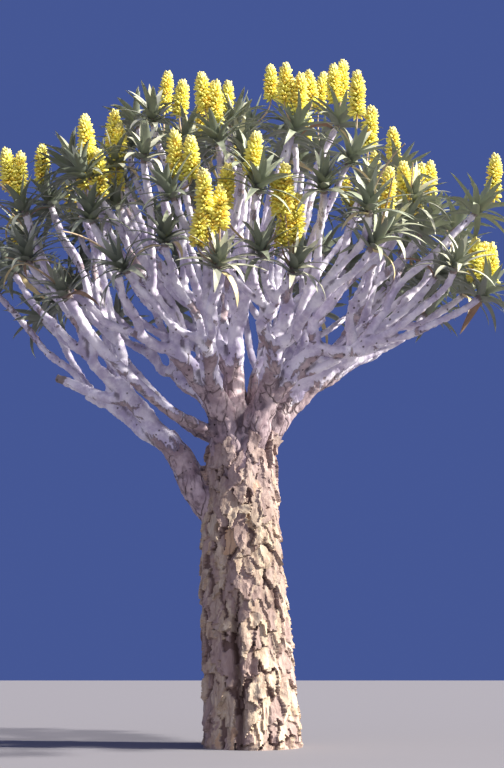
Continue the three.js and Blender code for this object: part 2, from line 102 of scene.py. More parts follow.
# The forks and the limbs, as in the source.
FORK_OUT = [0.2, 0.42, 0.62, 0.8]
FORK_UP = [0.24, 0.43, 0.6, 0.79]
SIDE_FORK_OUT = [0.3, 0.58, 0.77, 0.9]
SIDE_FORK_UP = [0.26, 0.43, 0.61, 0.8]
FORK_LIFT = 0.25
FORK_SPREAD = 0.68
FORK_SCATTER = 0.045
HANDLE = 0.36
CURVE_POINTS = 60
STEM_RADIUS = 0.037
THICKENING = 2.15
ROOT_SWELLS = [1.35, 1.12, 1.1, 1.1, 1.1, 1.12]
TIP_THINNING = 0.93
THINNING_BEND = 1.4
SINK = 0.75

# The broken stub, low on the left.
STUB_BOUGH = "left_b"
STUB_SHARE = 0.68
STUB_RADIUS = 0.042
STUB_POINTS = 40
STUB_SWELLS = [1.1, 1, 0.95, 0.8]
STUB_REACH = np.array([-0.57, 0.03, 0.18])
STUB_SAG = np.array([-0.23, 0, -0.01])

# What the solids leave out inside their masses of leaves: twin limbs that fork lower,
# and one more fork, where each stem parts into a few sprigs.
TWIN_LEVEL = 2
TWIN_FORK_SHARE = 0.83
TWIN_SLIMMING = 0.9
TWIN_PARTING = 0.55
SLIMMING = [1, 1, 0.95, 0.9, 0.88, 0.92]
LAST_FORK = (0.06, 0.36)
SPRIG_LEVEL = 5
SPRIG_TURN = 1.6
SPRIG_SPREAD = (0.16, 0.22)
LONE_SPRIG_SPREAD = 0.03
SPRIG_RADIUS = 0.029
SPRIG_SPLAY = 0.3
SPRIG_REACH = (0.975, 1.035)
TWO_SPRIG_SHARE = 0.72
LIMB_STEP = 0.03
LIMB_WAVER = 0.02
WAVER_LENGTH = 0.7

# Stems that leave their bough lower down: the share of a bough's line where they start, their
# radius and how sharply they part from it. Two seeds start at the fork.
LOW_STEM = ((0.3, 0.98), 0.032, TWIN_PARTING)
LOWEST_STEM = ((0.3, 0.42), 0.044, 1.3)
LOWEST_STEMS = (48, 59)
LOW_STEM_SHARE = 0.6
LOW_STEM_TURN = 2.4
LOW_STEM_REACH = (0.8, 0.95)
LOW_STEM_SPREAD = (0.2, 0.32)

UP = np.array([0.0, 0.0, 1.0])

# The bark's mesh.
BARK_VOXEL = 0.0138
BARK_SOFTENING = [0.62, -0.64] * 2
MERGE = 1e-5
CLEFT_ROUNDS = 3
CLEFT_BEND = (-0.005, 0.045)
TRUNK_SIDES = 230
TRUNK_RINGS = 390
TRUNK_BARK_TOP = 2.27
COLLAR_FOOT = 1.36
COLLAR_START = 1.7
COLLAR_SPAN = 0.35
COLLAR_INSET = 0.035
FORK_SHARE = 0.6
SPENT_LENGTH = 0.16
FLAKE_SPACING = 0.1
FLAKE_SQUASH = np.array([1, 1, 1 / 1.8])
RING_SPACING = 0.075
RING_HEIGHT = 0.0022
HOLLOW_DEPTH = 0.006
PLATE_COUNT = 760
PLATE_HALF_WIDTH = (0.022, 0.052)
PLATE_HALF_HEIGHT = (0.06, 0.15)
PLATE_THICKNESS = (0.003, 0.016)
PLATE_LIFT = (0.002, 0.026)
PLATE_EDGE = 0.06
PLATES_TOP = 2.04
FURROW_TURN = radians(104)
FURROW_WIDTH = 0.085
FURROW_DEPTH = 0.05
FURROW_TOP = 1.05

# A rosette of leaves.
LEAVES_EACH = 21
LEAF_LENGTH = 0.32
LEAF_WIDTH = 0.066
LEAF_THICKNESS = 0.018
LEAF_STATIONS = 7
UNDERSIDE = -0.2
OLD_FROM = 0.86
OLD_SHARE = 0.12
DRY_SHARE = 0.4
ROSETTE_SIDE = (0.3, 0.2, 0.1)
YELLOWED, DRY, SHADED_UNDERSIDE = 3, 4, 5
LEAF_FINISHES = [
    ("leaf_grey_green", "adb198", 0.36),
    ("leaf_green", "9ca38a", 0.36),
    ("leaf_pale_green", "bebfa6", 0.36),
    ("leaf_yellowed", "cdbd8c", 0.5),
    ("leaf_dry", "957a64", 0.85),
    # A darker green for the green leaves' undersides: painted shade.
    ("leaf_underside_shade", "757d6e", 0.4),
]
BLOOM_SHADES = (0.82, 1.16)

# A raceme of flowers.
FLOWERS_EACH = 140
RACEME_LENGTH = 0.3
FLOWER_LENGTH = 0.06
FLOWER_WIDTH = 0.016
YELLOW, GOLD, BUD = 0, 1, 2
FLOWER_FINISHES = [
    ("flower_yellow", "fceb72", 0.55),
    ("flower_gold", "f5d458", 0.55),
    ("flower_bud", "efe386", 0.55),
]
GOLD_SHARE = 0.25
BUDS_FROM = 0.84
RACEME_SIDE = (0.2, 0.5, 0.1)
RACEME_TILT = 0.17
STALK_LENGTH = 0.17
STALK_LIMITS = (0.1, 0.42)
RACEME_RISE = (26, 48)
RACEME_TOP = 5.3
LOWEST_FAR_SPOT = 250
FAR_SHARE = 0.6
OLD_STALK_SHARE = 0.22
STALK_RADIUS = 0.009
STALK_TIP_RADIUS = 0.004

# The photograph's view, and the middles of the rosettes and racemes that it shows, in its pixels.
CAMERA_PLACE = np.array([0, -7.8, 0.53])
CAMERA_RISE = 14.9
LENS = 50
SENSOR = 36
PICTURE = (504, 768)
FOCAL = LENS / SENSOR * PICTURE[1]
NEAR_SIDE = 0.35
NUDGE_LIMIT = 0.3
OPEN_WINDOW = (130, 128, 385, 262)
ROSETTE_SPOTS = [
    (219, 261), (260, 252), (294, 266), (170, 190), (185, 140), (241, 143), (296, 126), (324, 182),
    (339, 121), (352, 156), (369, 204), (375, 241), (22, 206), (90, 213), (27, 254), (116, 201),
    (144, 151), (405, 222), (432, 214), (478, 208), (484, 292), (398, 172), (216, 136), (115, 160),
]
RACEME_SPOTS = [
    (8, 170), (19, 176), (42, 165), (17, 228), (87, 168), (86, 137), (99, 174), (114, 132),
    (119, 143), (116, 176), (166, 92), (181, 99), (203, 92), (215, 102), (227, 98), (175, 158),
    (191, 166), (204, 192), (200, 226), (210, 218), (220, 208), (226, 186), (254, 175), (285, 189),
    (279, 196), (284, 225), (296, 219), (271, 83), (285, 84), (291, 95), (300, 95), (310, 88),
    (321, 92), (334, 84), (342, 80), (357, 94), (370, 128), (393, 145), (388, 190), (404, 182),
    (413, 190), (420, 184), (430, 180), (475, 262), (484, 262), (491, 266), (495, 197),
]


def roll(seed, use):
    """A number from 0 to 1 that depends only on its two seeds."""
    wave = sin(seed * 127.1 + use * 311.7 + TREE * 74.7) * 43758.5453
    return wave - wave // 1


def around(seed, use):
    return roll(seed, use) * 2 - 1


def between(span, share):
    return span[0] + (span[1] - span[0]) * share


def unit(v):
    return v / np.linalg.norm(v)


def smoothstep(x):
    x = np.clip(x, 0, 1)
    return x * x * (3 - 2 * x)


def waves(points, wavelength, seed, octaves=3):
    """A smooth seeded field over space, mostly from -1 to 1."""
    rng = np.random.default_rng(seed)
    total = np.zeros(len(points))
    for octave in range(octaves):
        ways = rng.normal(size=(12, 3))
        ways /= np.linalg.norm(ways, axis=1)[:, None]
        phases = rng.uniform(0, 2 * pi, 12)
        number = 2 * pi * 2**octave / wavelength
        total += np.sin(points @ ways.T * number + phases).sum(axis=1) * 0.23 / 2**octave
    return total


# A rosette's place on the crown's dome; a limb's curve with the rosettes that it feeds; a limb's
# centre line with its bough and its way from the trunk; and a sprig's end.
Rosette = namedtuple("Rosette", "seed rise at")
Limb = namedtuple("Limb", "start start_way end end_way leave sideways radius level rosettes")
Tube = namedtuple("Tube", "points radii radius bough level travelled")
Sprig = namedtuple("Sprig", "at axis bough seed")


def rosette_places():
    places = []
    for i in range(ROSETTE_COUNT):
        azimuth = i * GOLDEN_ANGLE + ROSETTE_TURN + ROSETTE_SHIFT * around(i, 2)
        lowest = sin(LOWEST_RISE + LOWEST_RISE_SWING * sin(azimuth))
        sine = 1 - ((i + 0.5) / ROSETTE_COUNT) * (1 - lowest) + RISE_SCATTER * around(i, 1)
        rise = asin(min(0.999, sine))
        out = cos(rise) ** CROWN_BLUNTNESS
        place = CROWN_REACH * [out * cos(azimuth), out * sin(azimuth), sin(rise)]
        reach = 1 - ROSETTE_SCATTER * roll(i, 3) ** 2
        places.append(Rosette(i, rise, place * reach + CROWN_MIDDLE))
    return places


def dome_direction(point):
    return unit((point - CROWN_MIDDLE) / CROWN_REACH)


def middle_of(rosettes):
    return np.mean([r.at for r in rosettes], axis=0)


def deal_round(rosettes, load, start):
    """Groups of so many rosettes, going round the crown from a starting azimuth."""

    def turn(rosette):
        way = dome_direction(rosette.at)
        return (atan2(way[1], way[0]) - start) % (2 * pi)

    order = sorted(rosettes, key=turn)
    return [order[i : i + load] for i in range(0, len(order), load)]


def halve(rosettes):
    """Halves a group of rosettes across its wider spread, sideways or upward."""
    ways = [dome_direction(r.at) for r in rosettes]
    middle = np.sum(ways, axis=0)
    side = unit(np.cross(UP, middle))
    lift = np.cross(unit(middle), side)
    marks = [[w @ axis for w in ways] for axis in (side, lift)]
    wider = max(marks, key=lambda m: max(m) - min(m))
    order = [rosettes[i] for i in np.argsort(wider, kind="stable")]
    half = ceil(len(order) / 2)
    return order[:half], order[half:]


def fork_place(root, side, rosettes, level):
    way = middle_of(rosettes) - root
    seed = rosettes[0].seed + 100 * level
    out = (SIDE_FORK_OUT if side else FORK_OUT)[level]
    up = (SIDE_FORK_UP if side else FORK_UP)[level]
    if level >= TWIN_LEVEL:
        out, up = out * TWIN_FORK_SHARE, up * TWIN_FORK_SHARE
    scatter = FORK_SCATTER * np.array([around(seed, 11), around(seed, 12), around(seed, 13)])
    return root + way * [out, out, up] + scatter


def rosette_axis(at):
    return unit(unit(at - CROWN_MIDDLE) * ROSETTE_LEAN + UP)


def make_limb(start, start_way, rosettes, bough, root, level):
    """One limb from a start to its fork or its rosette."""
    single = len(rosettes) == 1
    end = rosettes[0].at if single else fork_place(root, bough.side, rosettes, level)
    way = unit(end - start)
    if single:
        end_way = rosette_axis(end)
    else:
        end_way = unit(unit(middle_of(rosettes) - end) + way + UP * FORK_LIFT)
    leave = start_way + (way - start_way) * FORK_SPREAD
    sideways = way - start_way * (way @ start_way)
    radius = STEM_RADIUS * len(rosettes) ** (1 / THICKENING)
    if level >= TWIN_LEVEL:
        radius *= TWIN_SLIMMING
        leave += unit(sideways) * TWIN_PARTING
    leave = unit(leave)
    return Limb(start, start_way, end, end_way, leave, sideways, radius, level, rosettes)


def curve(corners, count):
    """Evenly spaced points along the cubic curve that four corners give."""
    t = np.linspace(0, 1, count)[:, None]
    weights = np.hstack([(1 - t) ** 3, 3 * t * (1 - t) ** 2, 3 * t**2 * (1 - t), t**3])
    line = weights @ np.array(corners)
    reach = np.concatenate([[0], np.cumsum(np.linalg.norm(np.diff(line, axis=0), axis=1))])
    marks = np.linspace(0, reach[-1], max(4, round(reach[-1] / LIMB_STEP) + 1))
    return np.column_stack([np.interp(marks, reach, line[:, k]) for k in range(3)])


def centre_line(limb, parent_radius):
    """Evenly spaced points along a limb, from its sunk root, with a little waver."""
    shift = limb.sideways
    if shift @ shift > 1e-12:
        shift = unit(shift) * max(0, parent_radius * TIP_THINNING - limb.radius)
    start = limb.start + shift - limb.start_way * SINK * limb.radius
    run = limb.end - start
    length = np.linalg.norm(run)
    span = length * HANDLE
    line = curve([start, start + limb.leave * span, limb.end - limb.end_way * span, limb.end], CURVE_POINTS)
    share = np.linspace(0, 1, len(line))[:, None]
    seed = limb.rosettes[0].seed + 31 * limb.level + 7 * len(limb.rosettes)
    side = unit(np.cross(run, [around(seed, 41), around(seed, 42), 0.3]))
    over = unit(np.cross(run, side))
    waver = LIMB_WAVER * min(1, length / WAVER_LENGTH)
    swing = np.sin(pi * share)
    line = line + waver * np.sin(2 * pi * share) * swing * side
    return line + waver * 0.7 * np.sin(3 * pi * share) * swing * over


def length_of(line):
    return np.linalg.norm(np.diff(line, axis=0), axis=1).sum()


def tube_along(line, radius, bough, level, travelled):
    """A tube with its radii from its root to its tip, the outer limbs a little slimmer than the solids'."""
    left = 1 - np.linspace(0, 1, len(line))
    swell = TIP_THINNING + (ROOT_SWELLS[level] - TIP_THINNING) * left**THINNING_BEND
    return Tube(line, radius * SLIMMING[level] * swell, radius, bough, level, travelled)


def cut_short(tube, share):
    """The part of a tube from its root to a share of its length."""
    count = max(2, round(share * (len(tube.points) - 1))) + 1
    return tube._replace(points=tube.points[:count], radii=tube.radii[:count])


def lean_at(height):
    return LEAN * smoothstep(np.asarray(height) / LEAN_HEIGHT)


def trunk_radius(height):
    height = np.asarray(height, float)
    rise = np.minimum(1, height / TRUNK_HEAD) ** TAPER_BEND
    taper = TRUNK_FOOT_RADIUS + (TRUNK_TOP_RADIUS - TRUNK_FOOT_RADIUS) * rise
    flare = FLARE * np.exp(-height / FLARE_HEIGHT)
    above = np.clip((height - TRUNK_HEAD) / (TRUNK_HEIGHT - TRUNK_HEAD), 0, 1)
    return (taper + flare) * np.sqrt(1 - HEAD_BLUNTNESS * above**2)


class Tree:
    """Grows the limbs by the source's rule, and carries each stem on to its sprigs."""

    def __init__(self, nudges, left_out):
        self.nudges = nudges
        self.left_out = left_out
        self.tubes = []
        self.sprigs = []
        rosettes = sorted(rosette_places(), key=lambda r: -r.rise)
        low = deal_round(rosettes[HIGH_COUNT:], LOW_LOAD, LOW_START)
        high = deal_round(rosettes[:HIGH_COUNT], HIGH_LOAD, HIGH_START)
        for bough, group in zip(BOUGHS, low + high):
            way = dome_direction(middle_of(group))
            azimuth = atan2(way[1], way[0])
            outward = np.array([cos(azimuth), sin(azimuth), 0])
            root = outward * bough.root_out + [lean_at(bough.root_height), 0, bough.root_height]
            root_way = outward * cos(ROOT_RISE) + UP * sin(ROOT_RISE)
            limb = make_limb(root, root_way, group, bough, root, 0)._replace(sideways=np.zeros(3))
            self.grow(limb, limb.radius, bough, root, 0, bough.name)

    def grow(self, limb, parent_radius, bough, root, travelled, name):
        line = centre_line(limb, parent_radius)
        tube = tube_along(line, limb.radius, bough.name, limb.level, travelled)
        if len(limb.rosettes) == 1:
            self.fork_stem(tube, limb.rosettes[0])
            return
        self.tubes.append(tube)
        for rosette in limb.rosettes:
            if limb.level == 1 - (rosette.seed in LOWEST_STEMS):
                self.add_low_stem(tube, rosette)
        if name == STUB_BOUGH:
            self.add_stub(tube)
        travelled += length_of(line)
        for letter, half in zip("ab", halve(limb.rosettes)):
            child = make_limb(limb.end, limb.end_way, half, bough, root, limb.level + 1)
            self.grow(child, limb.radius, bough, root, travelled, f"{name}_{letter}")

    def add_stub(self, tube):
        start = tube.points[round(STUB_SHARE * (len(tube.points) - 1))]
        stub = curve([start, start + STUB_SAG, start + STUB_REACH * 0.7, start + STUB_REACH], STUB_POINTS)
        marks = np.linspace(0, len(STUB_SWELLS) - 1, len(stub))
        radii = STUB_RADIUS * np.interp(marks, range(len(STUB_SWELLS)), STUB_SWELLS)
        self.tubes.append(tube._replace(points=stub, radii=radii, level=SPRIG_LEVEL))

    def fork_stem(self, tube, rosette):
        """Cuts a stem short at its last fork, and sends one or two sprigs on from there."""
        seed = rosette.seed
        stem = cut_short(tube, between(LAST_FORK, roll(seed, 51)))
        self.tubes.append(stem)
        count = 1 + (roll(seed, 50) < TWO_SPRIG_SHARE)
        for k in range(count):
            angle = (0.5 - roll(seed, 53)) * SPRIG_TURN + pi * k
            spread = between(SPRIG_SPREAD, roll(seed, 54 + k)) if count > 1 else LONE_SPRIG_SPREAD
            reach = between(SPRIG_REACH, roll(seed, 57 + k))
            self.add_sprig(stem, rosette, k, angle, spread, reach, SPRIG_RADIUS)

    def add_low_stem(self, tube, rosette):
        """A stem that leaves its bough lower down, for a rosette under the others."""
        seed = rosette.seed
        if roll(seed, 52) > LOW_STEM_SHARE:
            return
        start, radius, parting = LOWEST_STEM if seed in LOWEST_STEMS else LOW_STEM
        parent = cut_short(tube, between(start, roll(seed, 61)))
        angle = (0.5 - roll(seed, 53)) * LOW_STEM_TURN - pi / 2
        spread = between(LOW_STEM_SPREAD, roll(seed, 56))
        reach = between(LOW_STEM_REACH, roll(seed, 59))
        self.add_sprig(parent, rosette, 2, angle, spread, reach, radius, parting)

    def add_sprig(self, parent, rosette, number, angle, spread, reach, radius, parting=TWIN_PARTING):
        """A sprig from its parent's last point to the dome beside a rosette's place."""
        seed = rosette.seed * 4 + number
        if seed in self.left_out:
            return
        start = parent.points[-1]
        start_way = unit(start - parent.points[-2])
        out = unit(rosette.at - CROWN_MIDDLE)
        side = unit(np.cross(UP, out))
        offset = side * cos(angle) + np.cross(out, side) * sin(angle)
        dome = np.linalg.norm((rosette.at - CROWN_MIDDLE) / CROWN_REACH)
        end = rosette.at + offset * spread - CROWN_MIDDLE
        end *= dome / np.linalg.norm(end / CROWN_REACH) * reach
        end += CROWN_MIDDLE + self.nudges.get(seed, 0)
        axis = unit(rosette_axis(end) + offset * SPRIG_SPLAY)
        way = unit(end - start)
        sideways = way - start_way * (way @ start_way)
        leave = unit(start_way + (way - start_way) * FORK_SPREAD + unit(sideways) * parting)
        feeds = [rosette] * (number + 1)
        sprig = Limb(start, start_way, end, axis, leave, sideways, radius, SPRIG_LEVEL, feeds)
        line = centre_line(sprig, parent.radius)
        travelled = parent.travelled + length_of(parent.points)
        self.tubes.append(tube_along(line, radius, parent.bough, SPRIG_LEVEL, travelled))
        self.sprigs.append(Sprig(end, axis, parent.bough, seed))


def srgb(code):
    """A plain base colour, from its six-digit code on screen."""
    channels = [int(code[i : i + 2], 16) / 255 for i in (0, 2, 4)]
    return [c / 12.92 if c <= 0.04045 else ((c + 0.055) / 1.055) ** 2.4 for c in channels] + [1]


class Finish:
    """A material and the few kinds of node that its pattern is made of."""

    def __init__(self, name, roughness):
        self.material = bpy.data.materials.new(name)
        self.material.use_nodes = True
        self.graph = self.material.node_tree
        self.shader = self.graph.nodes["Principled BSDF"]
        self.shader.inputs["Roughness"].default_value = roughness
        self.place = self.add("TexCoord", "Object", {})

    def feed(self, socket, value):
        """Gives a socket another node's output, a colour by its code, or a number."""
        if isinstance(value, bpy.types.NodeSocket):
            self.graph.links.new(value, socket)
        else:
            socket.default_value = srgb(value) if isinstance(value, str) else value

    def add(self, kind, output, inputs, **settings):
        """A new node's output, with the node's settings and what its inputs are fed."""
        node = self.graph.nodes.new("ShaderNode" + kind)
        for key, value in settings.items():
            setattr(node, key, value)
        for key, value in inputs.items():
            self.feed(node.inputs[key], value)
        return node.outputs[output]

    def stretched(self, scale):
        return self.add("Mapping", "Vector", {"Vector": self.place, "Scale": scale})

    def warped(self, scale, amount, stretch):
        """The stretched place, pushed about by noise."""
        push = self.add("TexNoise", "Color", {"Vector": self.place, "Scale": scale})
        inputs = {0: push, 1: (amount, amount, amount), 2: self.stretched(stretch)}
        return self.add("VectorMath", "Vector", inputs, operation="MULTIPLY_ADD")

    def noise(self, scale, detail=4, rough=0.5, distortion=0, place=None):
        inputs = {"Vector": place or self.place, "Scale": scale, "Detail": detail}
        return self.add("TexNoise", "Fac", inputs | {"Roughness": rough, "Distortion": distortion})

    def cells(self, scale, place=None, feature="F1"):
        inputs = {"Vector": place or self.place, "Scale": scale}
        return self.add("TexVoronoi", "Distance", inputs, feature=feature)

    def attribute(self, name):
        return self.add("Attribute", "Fac", {}, attribute_name=name)

    def math(self, operation, a, b=0.0):
        return self.add("Math", "Value", {0: a, 1: b}, operation=operation)

    def times(self, a, b):
        return self.math("MULTIPLY", a, b)

    def plus(self, a, b):
        return self.math("ADD", a, b)

    def ramp(self, factor, low, high):
        """0 below low, 1 above high, and smooth between them."""
        inputs = {"Value": factor, "From Min": low, "From Max": high}
        return self.add("MapRange", "Result", inputs, interpolation_type="SMOOTHSTEP")

    def mix(self, factor, a, b):
        return self.add("Mix", "Result", {"Factor": factor, "A": a, "B": b}, data_type="RGBA")

    def layered(self, base, layers):
        """A base with colours laid over it in turn, each by its mask and the mask's share."""
        for mask, share, value in layers:
            base = self.mix(self.times(mask, share), base, value)
        return base

    def colour(self, value):
        self.feed(self.shader.inputs["Base Color"], value)

    def bump(self, height, distance):
        inputs = {"Distance": distance, "Height": height}
        self.feed(self.shader.inputs["Normal"], self.add("Bump", "Normal", inputs))


def limb_finish():
    """Pale waxy bark that peels to brown near the trunk, with dark leaf scars; the brown on the undersides
    near the fork is painted shade, and so is the darkening in the clefts between limbs.
    """
    f = Finish("waxy_bark", 0.6)
    # Brown peel near the trunk, plus painted shade on the undersides.
    peel_and_under_shade = f.attribute("peel_and_under_shade")
    flaky = f.noise(6, 8, 0.66, 0.8, f.stretched((1, 1, 0.5)))
    peel = f.plus(flaky, f.times(peel_and_under_shade, 0.34))
    peeled = f.ramp(peel, 0.655, 0.685)
    tone = f.noise(7, 6, 0.62)
    patches = f.ramp(tone, 0.35, 0.65)
    wax = f.mix(patches, "bcb2cd", "f3eff9")
    brown = f.mix(patches, "978289", "c8b5b8")
    scars = f.ramp(f.cells(15), 0.15, 0.09)
    rims = f.ramp(f.math("ABSOLUTE", f.math("SUBTRACT", peel, 0.655)), 0.014, 0.003)
    seams = f.ramp(f.cells(8, f.warped(7, 0.11, (1, 1, 0.16)), "DISTANCE_TO_EDGE"), 0.045, 0.01)
    cracks = f.times(f.times(seams, f.ramp(peel_and_under_shade, 0.4, 0.85)), f.ramp(tone, 0.36, 0.56))
    streaks = f.ramp(f.noise(26, 5, 0.6, 0.2, f.warped(5, 0.1, (1, 1, 0.07))), 0.47, 0.36)
    streaks = f.times(streaks, f.ramp(peel_and_under_shade, 0.3, 0.8))
    spent = f.ramp(f.plus(f.attribute("spent"), f.times(flaky, 0.5)), 0.62, 0.9)
    layers = [
        (rims, 0.65, "54413f"),
        (cracks, 0.7, "4a3838"),
        (streaks, 0.55, "5a474c"),
        (scars, 0.8, "4b3d42"),
        # Painted shade in the clefts between limbs.
        (f.attribute("cleft"), 0.72, "51434f"),
        (spent, 0.85, f.mix(tone, "4f4239", "8a7765")),
    ]
    f.colour(f.layered(f.mix(peeled, wax, brown), layers))
    fine = f.noise(60, 6, 0.65, 0, f.stretched((1, 1, 0.4)))
    low = f.plus(f.plus(peeled, scars), f.times(cracks, 1.6))
    f.bump(f.math("SUBTRACT", f.times(fine, 0.7), low), 0.007)
    return f.material


def trunk_finish():
    """Straw-coloured plates over a darker brown; each plate's tone comes from its mesh, and so does the
    painted shade in the hollows between plates and in the furrow.
    """
    f = Finish("plated_bark", 0.85)
    tone = f.attribute("tone")
    grain = f.noise(24, 7, 0.65, 0.4, f.stretched((1, 1, 0.35)))
    weathered = f.noise(4, 5, 0.6, 0.3, f.stretched((1, 1, 0.6)))
    patches = f.ramp(grain, 0.3, 0.7)
    straw = f.mix(patches, "ac947e", "d2c3aa")
    umber = f.mix(patches, "8c756f", "ae988f")
    ashen = f.mix(patches, "8c7779", "bca7a2")
    mixed = f.plus(f.times(tone, 0.5), f.times(weathered, 0.9))
    streaks = f.ramp(f.noise(17, 5, 0.62, 0.3, f.warped(5, 0.14, (1, 1, 0.12))), 0.46, 0.35)
    layers = [
        (f.ramp(tone, 0.96, 0.98), 0.6, f.mix(grain, "b98c64", "d6b088")),
        (f.attribute("upper"), 0.7, ashen),
        (streaks, 0.5, "5f4a46"),
        # Painted shade in the hollows between plates and in the furrow.
        (f.attribute("depth"), 1, "5a443c"),
    ]
    f.colour(f.layered(f.mix(f.ramp(mixed, 0.5, 0.95), umber, straw), layers))
    f.bump(f.plus(grain, f.times(weathered, 0.6)), 0.014)
    return f.material


def leaf_finish(name, code, roughness):
    """Plant skin: a plain base colour with a faint bloom."""
    f = Finish(name, roughness)
    shades = [[min(1, c * share) for c in srgb(code)[:3]] + [1] for share in BLOOM_SHADES]
    f.colour(f.mix(f.noise(14, 3), *shades))
    f.bump(f.noise(90, 2), 0.001)
    return f.material


def mesh_object(name, mesh, materials, slot=None):
    obj = bpy.data.objects.new(name, mesh)
    bpy.context.scene.collection.objects.link(obj)
    for material in materials:
        mesh.materials.append(material)
    if slot:
        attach(obj, "root")
    return obj


def mesh_from(bm, name):
    mesh = bpy.data.meshes.new(name)
    bm.to_mesh(mesh)
    bm.free()
    return mesh


def final_mesh(holder):
    """The mesh of an object as its settings shape it. The object is dropped."""
    shaped = holder.evaluated_get(bpy.context.evaluated_depsgraph_get())
    mesh = bpy.data.meshes.new_from_object(shaped)
    bpy.data.objects.remove(holder)
    return mesh


def tube_mesh(tubes, resolution):
    """One closed tube along each centre line, as a mesh."""
    curve = bpy.data.curves.new("tubes", "CURVE")
    curve.dimensions = "3D"
    curve.bevel_depth = 1
    curve.bevel_resolution = resolution
    curve.use_fill_caps = True
    for points, radii in tubes:
        spline = curve.splines.new("POLY")
        spline.points.add(len(points) - 1)
        spline.points.foreach_set("co", np.column_stack([points, np.ones(len(points))]).ravel())
        spline.points.foreach_set("radius", radii)
    holder = bpy.data.objects.new("tubes", curve)
    bpy.context.scene.collection.objects.link(holder)
    return final_mesh(holder)


def lathe(name, heights, insets, steps):
    """The trunk's straight lathe from the lowest of some heights to the highest, closed at both ends."""
    bm = bmesh.new()
    rim = [bm.verts.new((trunk_radius(h) - less, 0, h)) for h, less in zip(heights, insets)]
    low, high = (bm.verts.new((0, 0, h)) for h in (heights[0], heights[-1]))
    chain = [low, *rim, high]
    geom = chain + [bm.edges.new(pair) for pair in zip(chain, chain[1:])]
    turn = {"cent": (0, 0, 0), "axis": (0, 0, 1), "angle": 2 * pi}
    bmesh.ops.spin(bm, geom=geom, steps=steps, use_merge=True, **turn)
    bmesh.ops.remove_doubles(bm, verts=bm.verts, dist=MERGE)
    bmesh.ops.recalc_face_normals(bm, faces=bm.faces)
    return mesh_from(bm, name)


def lobed(points):
    """Leans and bulges points of a straight lathe as the trunk does."""
    x, y, z = points.T
    angle = np.arctan2(y, x)
    bulge = 1 + sum(depth * np.cos(count * angle + turn + twist * z) for count, depth, turn, twist in LOBES)
    return np.column_stack([x * bulge + lean_at(z), y * bulge, z])


def read(rows, field, width, kind=float):
    """One field of a mesh's points, edges or faces, as an array with a row for each."""
    flat = np.empty(len(rows) * width, kind)
    rows.foreach_get(field, flat)
    return flat.reshape(-1, width)


def points_of(mesh):
    return read(mesh.vertices, "co", 3)


def normals_of(mesh):
    return read(mesh.vertex_normals, "vector", 3, np.float32)


def edges_of(mesh):
    return read(mesh.edges, "vertices", 2, int)


def set_points(mesh, points):
    mesh.vertices.foreach_set("co", points.ravel())
    mesh.update()


def neighbour_sums(edges, values):
    one, two = edges.T
    count = len(values)
    return np.bincount(one, values[two], count) + np.bincount(two, values[one], count)


def relaxed(points, edges):
    """Softens creases without thinning the limbs, by pulling and pushing in turn."""
    neighbours = np.bincount(edges.ravel(), minlength=len(points))
    for weight in BARK_SOFTENING:
        for k in range(3):
            near = neighbour_sums(edges, points[:, k])
            points[:, k] += weight * (near / neighbours - points[:, k])
    return points


def above_collar(height):
    """From 0 below the collar, where the trunk's plates end, to 1 above it."""
    return smoothstep((height - COLLAR_START) / COLLAR_SPAN)


def bark_union(tree):
    """One skin over the trunk's head and all limbs, with soft forks."""
    flank = np.linspace(1.6, TRUNK_HEAD, 8)
    crest = np.linspace(TRUNK_HEAD, TRUNK_HEIGHT, 8)[1:]
    heights = [COLLAR_FOOT, *flank, *crest]
    insets = [COLLAR_INSET * (1 - above_collar(h)) for h in heights]
    head = lathe("head", heights, insets, 72)
    set_points(head, lobed(points_of(head)))
    bm = bmesh.new()
    bm.from_mesh(tube_mesh([(tube.points, tube.radii) for tube in tree.tubes], 3))
    bm.from_mesh(head)
    bmesh.ops.remove_doubles(bm, verts=bm.verts, dist=MERGE)
    holder = mesh_object("bark_union", mesh_from(bm, "bark_union"), [])
    remesh = holder.modifiers.new("skin", "REMESH")
    remesh.mode = "VOXEL"
    remesh.voxel_size = BARK_VOXEL
    skin = final_mesh(holder)
    set_points(skin, relaxed(points_of(skin), edges_of(skin)))
    return skin


def finder_of(places):
    finder = KDTree(len(places))
    for i, place in enumerate(places):
        finder.insert(place, i)
    finder.balance()
    return finder


def nearest_limbs(tree, points):
    """For each point: the tube that it lies on, the share along it, and its way from the trunk."""
    rows = []
    for index, tube in enumerate(tree.tubes):
        steps = np.linspace(0, 1, len(tube.points))
        ways = tube.travelled + steps * length_of(tube.points)
        rows += [(p, r, index, s, w) for p, r, s, w in zip(tube.points, tube.radii, steps, ways)]
    for height in np.arange(COLLAR_FOOT, TRUNK_HEIGHT, 0.03):
        rows.append((np.array([lean_at(height), 0, height]), float(trunk_radius(height)), -1, 0, 0))
    finder = finder_of([row[0] for row in rows])
    found = np.empty((len(points), 3))
    for i, point in enumerate(points):
        best = min(finder.find_n(point, 7), key=lambda hit: hit[2] - rows[hit[1]][1])
        found[i] = rows[best[1]][2:]
    return found


def flakes_under(points, seeds):
    """The flake that each point lies on, and how far the flake's rim is."""
    finder = finder_of(seeds * FLAKE_SQUASH)
    owner = np.empty(len(points), int)
    rim = np.empty(len(points))
    for i, point in enumerate(points * FLAKE_SQUASH):
        first, second = finder.find_n(point, 2)
        owner[i] = first[1]
        rim[i] = second[2] - first[2]
    return owner, rim


